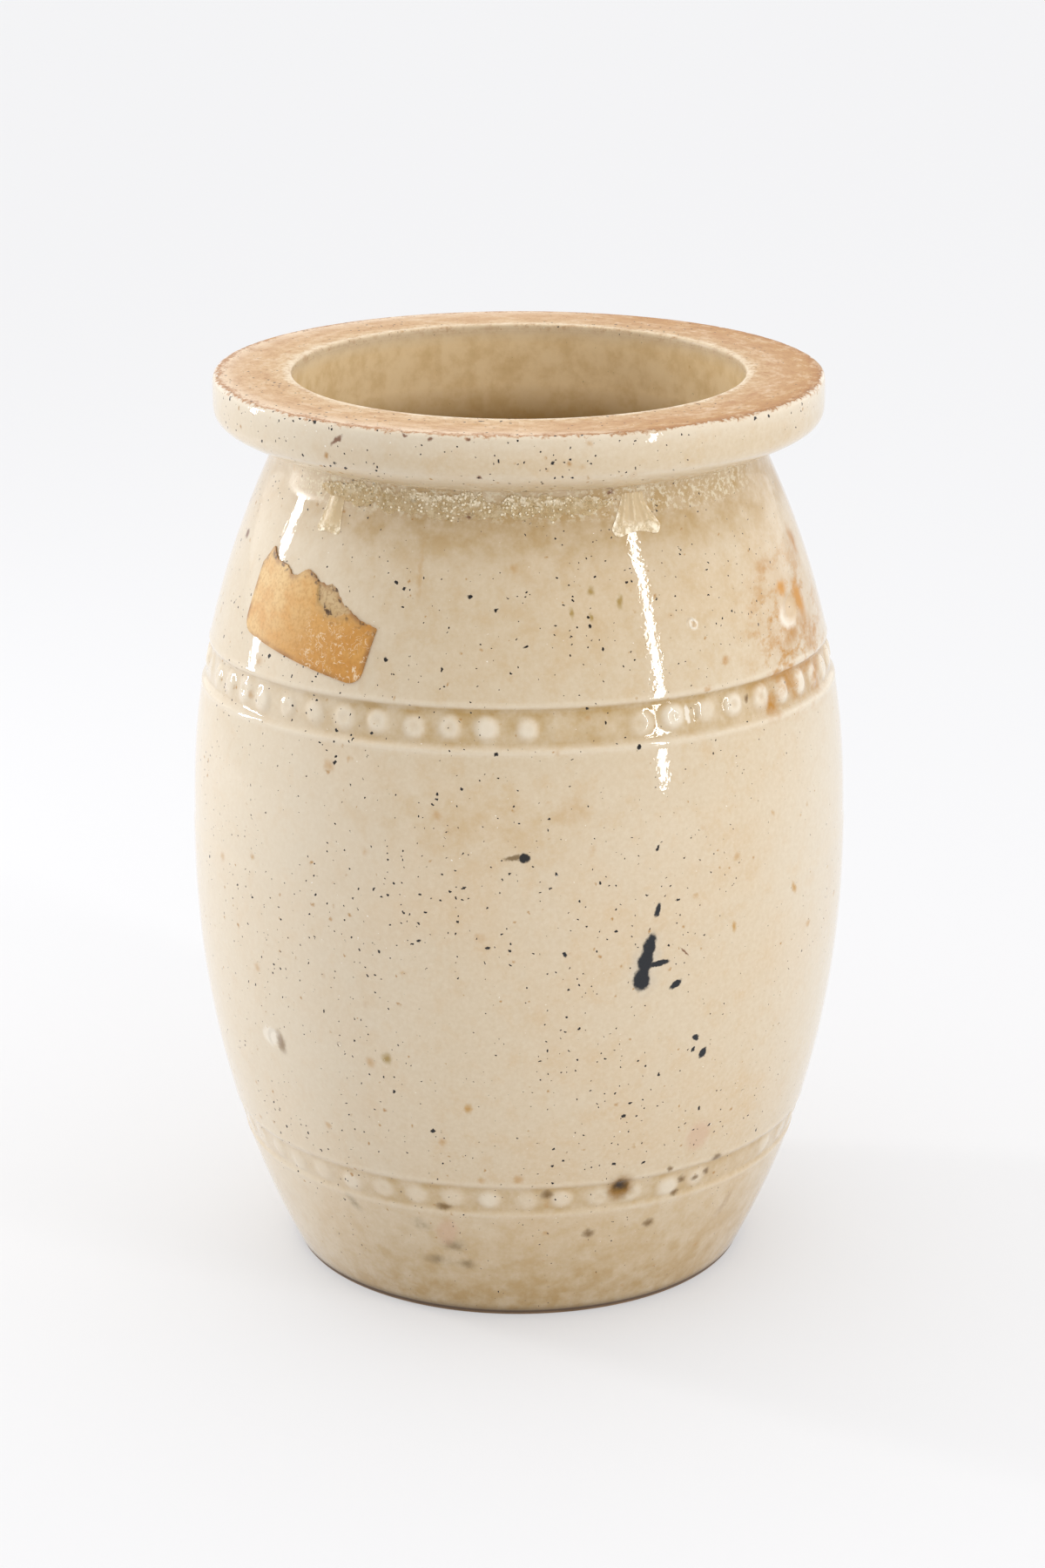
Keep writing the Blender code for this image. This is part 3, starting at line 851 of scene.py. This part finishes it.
salt_glaze_material = salt_glaze()
pot_rings = inside_rings() + rim_rings() + wall_rings() + foot_rings()
stoneware_pot = add_piece("stoneware_pot_glazed", pot_mesh(pot_rings))
stoneware_pot.data.materials.append(salt_glaze_material)
beads = pressed_beads()
for band, count, first, tilt, pitch, rise, thinning, worn, seed in BEAD_ROWS:
    middle = (band.bottom + band.top) / 2
    add_nodes(stoneware_pot, beads, {
        "Bead count": count,
        "Row turn": (tilt, -pitch, math.radians(first - 90.0)),
        "Band middle": (0.0, 0.0, middle - outer_radius(middle) * pitch),
        "Band radius": outer_radius(middle),
        "Bead width": BEAD_WIDTH,
        "Bead rise": rise,
        "Glaze thinning": thinning,
        "Worn place": outer_point(math.radians(worn), middle),
        "Seed": seed,
        "Glaze": salt_glaze_material,
    })
finish_nodes(stoneware_pot)
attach(stoneware_pot, "root")
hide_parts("stoneware_pot")

# Paper label: the lower part of a small gummed label, stuck to the glaze on the left of the shoulder.
# It is tan paper that split when its top was torn away, so a thin grey ply is left at the right of the tear.

LABEL_LENGTH = 19.3 * MM
LABEL_BOTTOM = -4.6 * MM
LABEL_CORNER = 1.6 * MM
LABEL_TORN_EDGE = (
    (-9.7, 2.8), (-9.2, 3.65), (-8.4, 5.2), (-7.1, 4.2), (-5.0, 4.3), (-3.7, 3.65), (-2.9, 3.85),
    (-1.6, 5.0), (-0.4, 4.8), (0.4, 4.4), (1.6, 4.3), (2.7, 4.6), (3.6, 4.0), (4.4, 3.25), (5.8, 2.7),
    (7.3, 2.1), (9.7, 1.8),
)
LABEL_PLY_EDGE = ((0.4, 4.6), (1.0, 3.2), (1.35, 2.3), (2.4, 2.0), (4.0, 1.5), (6.2, 2.6))
LABEL_ANGLE = math.radians(-44.5)
LABEL_HEIGHT = 79.97 * MM
LABEL_TILT = math.radians(-8.0)
LABEL_CELLS = (180, 70)
PAPER_THICKNESS = 0.16 * MM
PLY_THICKNESS = 0.05 * MM
STUCK = 0.02 * MM
FIBRE_SIZE = 0.5 * MM
TEAR_FRAY = 0.16 * MM
PLY_FRAY = 0.25 * MM
BROWNED_EDGE = 0.7 * MM
DIRTY_EDGE = 1.3 * MM


def wall_normal(height):
    """The wall's outward direction at a height, as (radius, height)."""
    step = 0.1 * MM
    slope = (barrel_radius(height + step) - barrel_radius(height - step)) / (2 * step)
    return Vector((1.0, -slope)).normalized()


def seat(angle, height, lift):
    """The point over the wall, lifted off it along its outward direction."""
    outward = wall_normal(height)
    radius = barrel_radius(height) + lift * outward.x
    return Vector((radius * math.sin(angle), -radius * math.cos(angle), height + lift * outward.y))


def sheet_on_wall(name, cells, place, outline, thickness, values):
    """A closed thin sheet that follows the wall round a place (angle, height, tilt). outline gives
    (across, up) for s and t from 0 to 1, thickness and each named value are functions of (across, up)."""
    columns, rows = cells
    angle, height, tilt = place
    turn = Matrix.Rotation(tilt, 2)
    slope = wall_normal(height).x
    flat = [outline(column / columns, row / rows) for row in range(rows + 1) for column in range(columns + 1)]
    points = []
    for lifted in (0, 1):
        for across, up in flat:
            turned = turn @ Vector((across, up))
            level = height + turned.y * slope
            lift = STUCK + lifted * thickness(across, up)
            points.append(seat(angle + turned.x / barrel_radius(level), level, lift))
    side = len(flat)
    faces = []
    for row in range(rows):
        for column in range(columns):
            corner = row * (columns + 1) + column
            square = [corner, corner + 1, corner + columns + 2, corner + columns + 1]
            faces.append([number + side for number in square])
            faces.append(square[::-1])
    lower = list(range(columns + 1))
    right = [row * (columns + 1) + columns for row in range(1, rows + 1)]
    upper = [rows * (columns + 1) + column for column in range(columns - 1, -1, -1)]
    left = [row * (columns + 1) for row in range(rows - 1, 0, -1)]
    border = lower + right + upper + left
    for first, second in zip(border, border[1:] + border[:1]):
        faces.append([first, second, second + side, first + side])
    mesh = bpy.data.meshes.new(name)
    mesh.from_pydata(points, [], faces)
    for value_name, value in values.items():
        layer = mesh.attributes.new(value_name, "FLOAT", "POINT")
        layer.data.foreach_set("value", [value(across, up) for across, up in flat] * 2)
    mesh.shade_smooth()
    mesh.set_sharp_from_angle(angle=math.radians(50.0))
    return add_piece(name, mesh)


def along(points, across):
    """The height of a broken line, given in mm, at a place across."""
    for (left, left_up), (right, right_up) in zip(points, points[1:]):
        if across <= right * MM:
            share = max(0.0, (across / MM - left) / (right - left))
            return (left_up + (right_up - left_up) * share) * MM
    return points[-1][1] * MM


def fibres(across, up, size):
    """An uneven fibre edge or cloud, about -0.5 to 0.5."""
    return noise.fractal(Vector((across, up, 0.003)) / size, 0.8, 2.0, 4)


def torn_height(across):
    """The label's upper edge: its main tears, with a ragged fibre edge."""
    return along(LABEL_TORN_EDGE, across) + TEAR_FRAY * fibres(across, 0.0, FIBRE_SIZE)


def label_outline(s, t):
    """Rounded lower corners and a torn upper edge."""
    across = (s - 0.5) * LABEL_LENGTH
    past = max(0.0, abs(across) - LABEL_LENGTH / 2 + LABEL_CORNER)
    low = LABEL_BOTTOM + LABEL_CORNER - math.sqrt(max(0.0, LABEL_CORNER**2 - past**2))
    return across, low + (torn_height(across) - low) * t


def over_ply(across):
    """Whether the tan face is torn anywhere at this place across."""
    return LABEL_PLY_EDGE[0][0] * MM < across < LABEL_PLY_EDGE[-1][0] * MM


def thin_ply(across, up):
    """1 where the tan face has come off and only the grey ply is left."""
    if not over_ply(across):
        return 0.0
    edge = along(LABEL_PLY_EDGE, across) + PLY_FRAY * fibres(across, 4.0 * MM, FIBRE_SIZE)
    return smooth((up - edge) / PLY_FRAY + 0.5)


def label_thickness(across, up):
    """The paper's thickness, or the ply's."""
    return PAPER_THICKNESS - (PAPER_THICKNESS - PLY_THICKNESS) * thin_ply(across, up)


def from_edge(across, up):
    """How near the label's edge is: 1 at the edge, 0 where the browned edge ends."""
    inward = min(LABEL_LENGTH / 2 - abs(across), up - LABEL_BOTTOM, torn_height(across) - up)
    return 1.0 - smooth(inward / BROWNED_EDGE)


def from_tear(across, up):
    """How near a torn edge is, either of the whole label or of the tan face."""
    gap = torn_height(across) - up
    if over_ply(across):
        gap = min(gap, abs(along(LABEL_PLY_EDGE, across) - up))
    return 1.0 - smooth(gap / DIRTY_EDGE)


def faded(across, up):
    """The tan is paler towards the upper left."""
    return smooth((6.0 * MM - 0.7 * across + 0.6 * up) / (12.0 * MM))


def rubbed(across, up):
    """The face is scratched at the lower right."""
    return smooth((across + 2.0 * MM) / (4.5 * MM)) * smooth((2.2 * MM - up) / (2.0 * MM))


LABEL_VALUES = {
    "thin_ply": thin_ply, "from_edge": from_edge, "from_tear": from_tear, "faded": faded, "rubbed": rubbed,
}


def gummed_paper():
    """Aged gummed paper: matt tan fibre with brown edges, dirt along the tear and pale scratches."""
    material, tree, shader = new_material("gummed_label_paper")
    place = add_node(tree, "ShaderNodeTexCoord", give="Object")
    fields = {}
    for name in LABEL_VALUES:
        fields[name] = add_node(tree, "ShaderNodeAttribute", give="Fac", attribute_name=name)
    for name, size, detail, distortion in (
        ("cloud", 2.0, 6.0, 0.0), ("dirt", 0.8, 4.0, 0.0), ("fibre", 0.35, 4.0, 0.0), ("curl", 0.9, 3.0, 1.2),
    ):
        inputs = {"Vector": place, "Scale": per(size), "Detail": detail, "Distortion": distortion}
        fields[name] = add_node(tree, "ShaderNodeTexNoise", inputs)
    at = SimpleNamespace(**fields)
    line = add_node(tree, "ShaderNodeMath", {0: at.curl, 1: 0.5}, operation="SUBTRACT")
    line = add_node(tree, "ShaderNodeMath", {0: line}, operation="ABSOLUTE")
    creased = combined(tree, ((at.dirt, 0.45, 0.55, 0.0, 1.0), at.rubbed))
    paper = lay_coats(tree, "C68A3A", (
        ("DCB778", at.faded),
        ("D09A4E", at.cloud, 0.42, 0.66, 0.9),  # wear
        ("B27D32", at.fibre, 0.45, 0.7, 0.5),  # grain
        ("C9AC7E", at.thin_ply),
        ("9C7444", line, 0.05, 0.01, 0.6, at.thin_ply),  # veins
        ("B8945E", at.cloud, 0.4, 0.6, 0.7, at.from_tear),  # stain
        ("8F5E2E", at.cloud, 0.3, 0.6, 0.8, at.from_edge),  # brown edge
        ("4A3018", at.dirt, 0.55, 0.64, 0.95, at.from_tear),  # dirt
        ("F3DFBE", line, 0.024, 0.008, 0.75, at.rubbed, creased),  # scratches
    ))
    bump = add_node(tree, "ShaderNodeBump", {"Height": at.fibre, "Distance": 0.02 * MM, "Strength": 1.0})
    fill_inputs(tree, shader, {"Base Color": paper, "Roughness": 0.5, "Normal": bump, "IOR": 1.45})
    return material


paper_label = sheet_on_wall(
    "torn_paper_label", LABEL_CELLS, (LABEL_ANGLE, LABEL_HEIGHT, LABEL_TILT), label_outline, label_thickness,
    LABEL_VALUES,
)
paper_label.data.materials.append(gummed_paper())
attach(paper_label, "root")
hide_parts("paper_label")

# Gum crust: dried sealing gum left along the front of the tie groove, from the cover that was tied on.
# It is a brittle, broken film with cream-white grains, thickest in the middle.

CRUST_ANGLE = math.radians(-14.2)
CRUST_HEIGHT = 93.2 * MM
CRUST_LENGTH = 33.6 * MM
CRUST_WIDTH = 2.5 * MM
CRUST_NOTCH = 4.2 * MM
CRUST_NOTCH_RADIUS = 1.3 * MM
CRUST_MIDDLE = 3.0 * MM
CRUST_REACH = 9.0 * MM
CRUST_CELLS = (300, 16)
CRUST_LEAST_WIDTH = 0.2 * MM
CRUST_FRAY = 1.6 * MM
CRUST_FILM = 0.07 * MM
CRUST_RELIEF = 0.06 * MM
CRUST_RELIEF_SIZE = 0.6 * MM
CRUST_LOWER_EDGE = 1.4 * MM
GRAIN_RADIUS = 0.19 * MM
GRAINS_PER_SQUARE_METRE = 3.5e6


def crust_outline(s, t):
    """A long strip whose two edges run in and out, with a round bite out of the upper one."""
    across = (s - 0.5) * CRUST_LENGTH
    taper = math.sqrt(max(0.05, 1.0 - (2.0 * s - 1.0) ** 4))
    low = -CRUST_WIDTH * taper * (0.5 + 0.3 * fibres(across, 2.0 * MM, CRUST_FRAY))
    high = CRUST_WIDTH * taper * (0.5 + 0.3 * fibres(across, 9.0 * MM, CRUST_FRAY))
    high -= math.sqrt(max(0.0, CRUST_NOTCH_RADIUS**2 - (across - CRUST_NOTCH) ** 2))
    return across, low + (max(high, low + CRUST_LEAST_WIDTH) - low) * t


def crust_thickness(across, up):
    """An uneven film."""
    return CRUST_FILM + CRUST_RELIEF * fibres(across, up, CRUST_RELIEF_SIZE)


def crowded(across, up):
    """How thick the crust lies: most in the middle of its length, and thin along its lower edge."""
    along_crust = 0.6 + 0.4 * bell(across - CRUST_MIDDLE, CRUST_REACH)
    return along_crust * (0.4 + 0.6 * smooth(0.5 + up / CRUST_LOWER_EDGE))


def dried_gum(name, edge_value, film, clear, white):
    """Dried gum: a brittle translucent film with a dull gloss, cream-white where it is thick or cracked."""
    material, tree, shader = new_material(name)
    place = add_node(tree, "ShaderNodeTexCoord", give="Object")
    thick = add_node(tree, "ShaderNodeAttribute", give="Fac", attribute_name=edge_value)
    solid = add_node(tree, "ShaderNodeAttribute", give="Fac", attribute_name="solid")
    grain = add_node(
        tree, "ShaderNodeTexNoise", {"Vector": place, "Scale": per(0.7), "Detail": 4.0, "Roughness": 0.65}
    )
    body = combined(tree, ((grain, 0.42, 0.6, 0.0, 1.0), thick))
    alpha = combined(tree, ((body, 0.0, 1.0, clear, white),))
    alpha = add_node(tree, "ShaderNodeMath", {0: alpha, 1: solid}, operation="MAXIMUM")
    gum = lay_coats(tree, film, (("FFF3DA", body), ("FFF4DA", solid)))
    bump = add_node(tree, "ShaderNodeBump", {"Height": grain, "Distance": 0.03 * MM, "Strength": 1.0})
    look = {"Base Color": gum, "Roughness": 0.2, "Normal": bump, "IOR": 1.48, "Alpha": alpha}
    fill_inputs(tree, shader, look)
    return material


def gum_grains():
    """A tree that strews dried grains of gum over a sheet, most where it is crowded."""
    tree, given = new_tree("gum_grains", {
        "Int": ("Seed",), "Float": ("Grain radius", "Grains per square metre"), "Material": ("Gum",),
    })
    crowd = add_node(tree, "GeometryNodeInputNamedAttribute", {"Name": "crowded"}, data_type="FLOAT")
    density = combined(tree, (crowd, given["Grains per square metre"]))
    spots = add_node(
        tree, "GeometryNodeDistributePointsOnFaces",
        {"Mesh": given["Geometry"], "Density": density, "Seed": given["Seed"]},
    )
    grain = add_node(tree, "GeometryNodeMeshIcoSphere", {"Radius": given["Grain radius"], "Subdivisions": 1})
    size = add_node(
        tree, "FunctionNodeRandomValue", {0: (0.35, 0.35, 0.3), 1: (1.0, 1.0, 0.8), "Seed": given["Seed"]},
        data_type="FLOAT_VECTOR",
    )
    turn = spots.node.outputs["Rotation"]
    strewn = {"Points": spots, "Instance": grain, "Rotation": turn, "Scale": size}
    grains = add_node(tree, "GeometryNodeInstanceOnPoints", strewn)
    grains = add_node(tree, "GeometryNodeRealizeInstances", {"Geometry": grains})
    grains = add_node(tree, "GeometryNodeSetShadeSmooth", {"Geometry": grains})
    grains = add_node(
        tree, "GeometryNodeStoreNamedAttribute", {"Geometry": grains, "Name": "solid", "Value": 1.0},
        data_type="FLOAT", domain="POINT",
    )
    joined = add_node(tree, "GeometryNodeJoinGeometry", {0: grains})
    tree.links.new(given["Geometry"], joined.node.inputs[0])
    end_tree(tree, joined, given["Gum"])
    return tree


crust_gum = dried_gum("dried_gum_crust", "crowded", "E2C892", 0.3, 1.0)
gum_crust = sheet_on_wall(
    "gum_crust_in_groove", CRUST_CELLS, (CRUST_ANGLE, CRUST_HEIGHT, 0.0), crust_outline, crust_thickness,
    {"crowded": crowded},
)
gum_crust.data.materials.append(crust_gum)
add_nodes(gum_crust, gum_grains(), {
    "Grain radius": GRAIN_RADIUS, "Grains per square metre": GRAINS_PER_SQUARE_METRE, "Seed": 3,
    "Gum": crust_gum,
})
finish_nodes(gum_crust)
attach(gum_crust, "root")
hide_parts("gum_crust")

# Gum flakes: two thin films of the same gum, one hanging bell-shaped from the groove at the right,
# one small patch on the shoulder at the left. They dried stuck to the glaze, in folds.

# Each flake: node, angle in degrees, height in mm, top width, hem width and length in mm, folds, and how
# far the corners drop.
FLAKES = (
    ("gum_flake_left", -43.7, 90.7, (2.2, 3.4, 3.8), 1.0, 0.1),
    ("gum_flake_right", 25.6, 92.1, (2.4, 5.7, 4.2), 3.0, 0.16),
)
FLAKE_CELLS = (60, 50)
FILM_THICKNESS = 0.09 * MM
FOLD_RISE = 0.06 * MM


def make_flake(node, angle, height, size, folds, drop, material):
    """A film that hangs from a narrow top, fans out in folds and ends in a hem with two low round corners."""
    top_width, hem_width, length = (value * MM for value in size)

    def half_width(t):
        return (top_width + (hem_width - top_width) * (1.0 - t) ** 1.5) / 2

    def outline(s, t):
        lobe = math.sin(math.pi * s) ** 0.5
        corner = (2.0 * s - 1.0) ** 2 * (1.0 - (2.0 * s - 1.0) ** 6)
        sag = length * (1.0 - t) * (2.0 * drop * corner + 0.12 * (lobe - 1.0))
        return (2.0 * s - 1.0) * half_width(t), (t - 0.5) * length - sag

    def fan(across, up):
        return across / half_width(min(1.0, max(0.0, up / length + 0.5)))

    def thickness(across, up):
        return FILM_THICKNESS + FOLD_RISE * math.cos(math.pi * folds * fan(across, up))

    def hem(across, up):
        low = smooth((-0.15 * length - up) / (0.3 * length))
        ridge = 0.35 * smooth(2.0 * math.cos(math.pi * folds * fan(across, up)) - 1.0)
        return max(low, ridge, smooth((abs(fan(across, up)) - 0.8) / 0.2))

    place = (math.radians(angle), height * MM, 0.0)
    flake = sheet_on_wall(node + "_film", FLAKE_CELLS, place, outline, thickness, {"hem": hem})
    flake.data.materials.append(material)
    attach(flake, "root")
    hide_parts(node)


flake_gum = dried_gum("dried_gum_film", "hem", "F8E2B6", 0.4, 1.0)
for flake in FLAKES:
    make_flake(*flake, flake_gum)

# Studio: a plain white floor, soft light from all round that is weaker low in front,
# and two tall strip lamps that draw the long highlights on the glaze.

FLOOR_SIZE = 12.0
FLOOR_GLOW = 0.4
floor_mesh = bpy.data.meshes.new("studio_floor")
reach = FLOOR_SIZE / 2
corners = [(-reach, -reach, 0.0), (reach, -reach, 0.0), (reach, reach, 0.0), (-reach, reach, 0.0)]
floor_mesh.from_pydata(corners, [], [(0, 1, 2, 3)])
floor = add_piece("studio_floor", floor_mesh)
floor_paper, floor_tree, floor_shader = new_material("matt_white_paper")
fill_inputs(floor_tree, floor_shader, {"Base Color": "DFDFE1", "Roughness": 0.9})
ray = add_node(floor_tree, "ShaderNodeLightPath").node.outputs
seen = ray["Is Camera Ray"]
for kind in ("Is Glossy Ray", "Is Transmission Ray"):
    seen = add_node(floor_tree, "ShaderNodeMath", {0: seen, 1: ray[kind]}, operation="ADD")
seen = combined(floor_tree, (seen, FLOOR_GLOW))
glow = add_node(floor_tree, "ShaderNodeEmission", {"Color": "FCFCFD", "Strength": 1.0})
paper = add_node(floor_tree, "ShaderNodeMixShader", {0: seen, 1: floor_shader.outputs["BSDF"], 2: glow})
floor_tree.links.new(paper, floor_tree.nodes["Material Output"].inputs["Surface"])
floor_mesh.materials.append(floor_paper)

world = bpy.data.worlds.new("soft_studio")
bpy.context.scene.world = world
world.use_nodes = True
sky = world.node_tree
way = add_node(sky, "ShaderNodeTexCoord", give="Generated")
way = add_node(sky, "ShaderNodeSeparateXYZ", {0: way}).node.outputs
low_light = combined(sky, ((way["Y"], -0.9, 0.1, 0.46, 1.35),))
overhead = combined(sky, ((way["Z"], 0.3, 0.75, 0.0, 1.0),))
level = add_node(sky, "ShaderNodeMix", {0: overhead, 2: low_light, 3: 1.03}, data_type="FLOAT")
zenith = combined(sky, ((way["Z"], 0.7, 0.95, 0.0, 0.3),))
level = add_node(sky, "ShaderNodeMath", {0: level, 1: zenith}, operation="ADD")
fill_inputs(sky, sky.nodes["Background"], {"Color": "FFFFFF", "Strength": level})

# Each strip: name, angle and lean in degrees, distance, width, length and height in metres, and watts.
STRIPS = (
    ("right_strip", 50.8, 5.5, 0.45, 0.026, 0.39, 0.225, 0.62),
    ("left_strip", -110.0, 0.0, 0.36, 0.021, 0.167, 0.1435, 0.42),
)
for name, angle, lean, away, width, length, height, power in STRIPS:
    lamp = bpy.data.lights.new(name, "AREA")
    lamp.shape = "RECTANGLE"
    lamp.size = width
    lamp.size_y = length
    lamp.energy = power
    strip = bpy.data.objects.new(name, lamp)
    bpy.context.scene.collection.objects.link(strip)
    turn = math.radians(angle)
    strip.location = (away * math.sin(turn), -away * math.cos(turn), height)
    strip.rotation_euler = (math.radians(90.0), math.radians(lean), turn)

# Camera: the photograph's view, a little above the rim and square to the front.

camera = bpy.data.cameras.new("camera")
camera.lens = 88.46
camera.sensor_width = 36.0
viewpoint = bpy.data.objects.new("camera", camera)
bpy.context.scene.collection.objects.link(viewpoint)
viewpoint.location = (0.0004, -0.4169, 0.1893)
viewpoint.rotation_euler = (math.radians(72.02), 0.0, 0.0)
bpy.context.scene.camera = viewpoint
bpy.context.scene.view_settings.view_transform = "Standard"
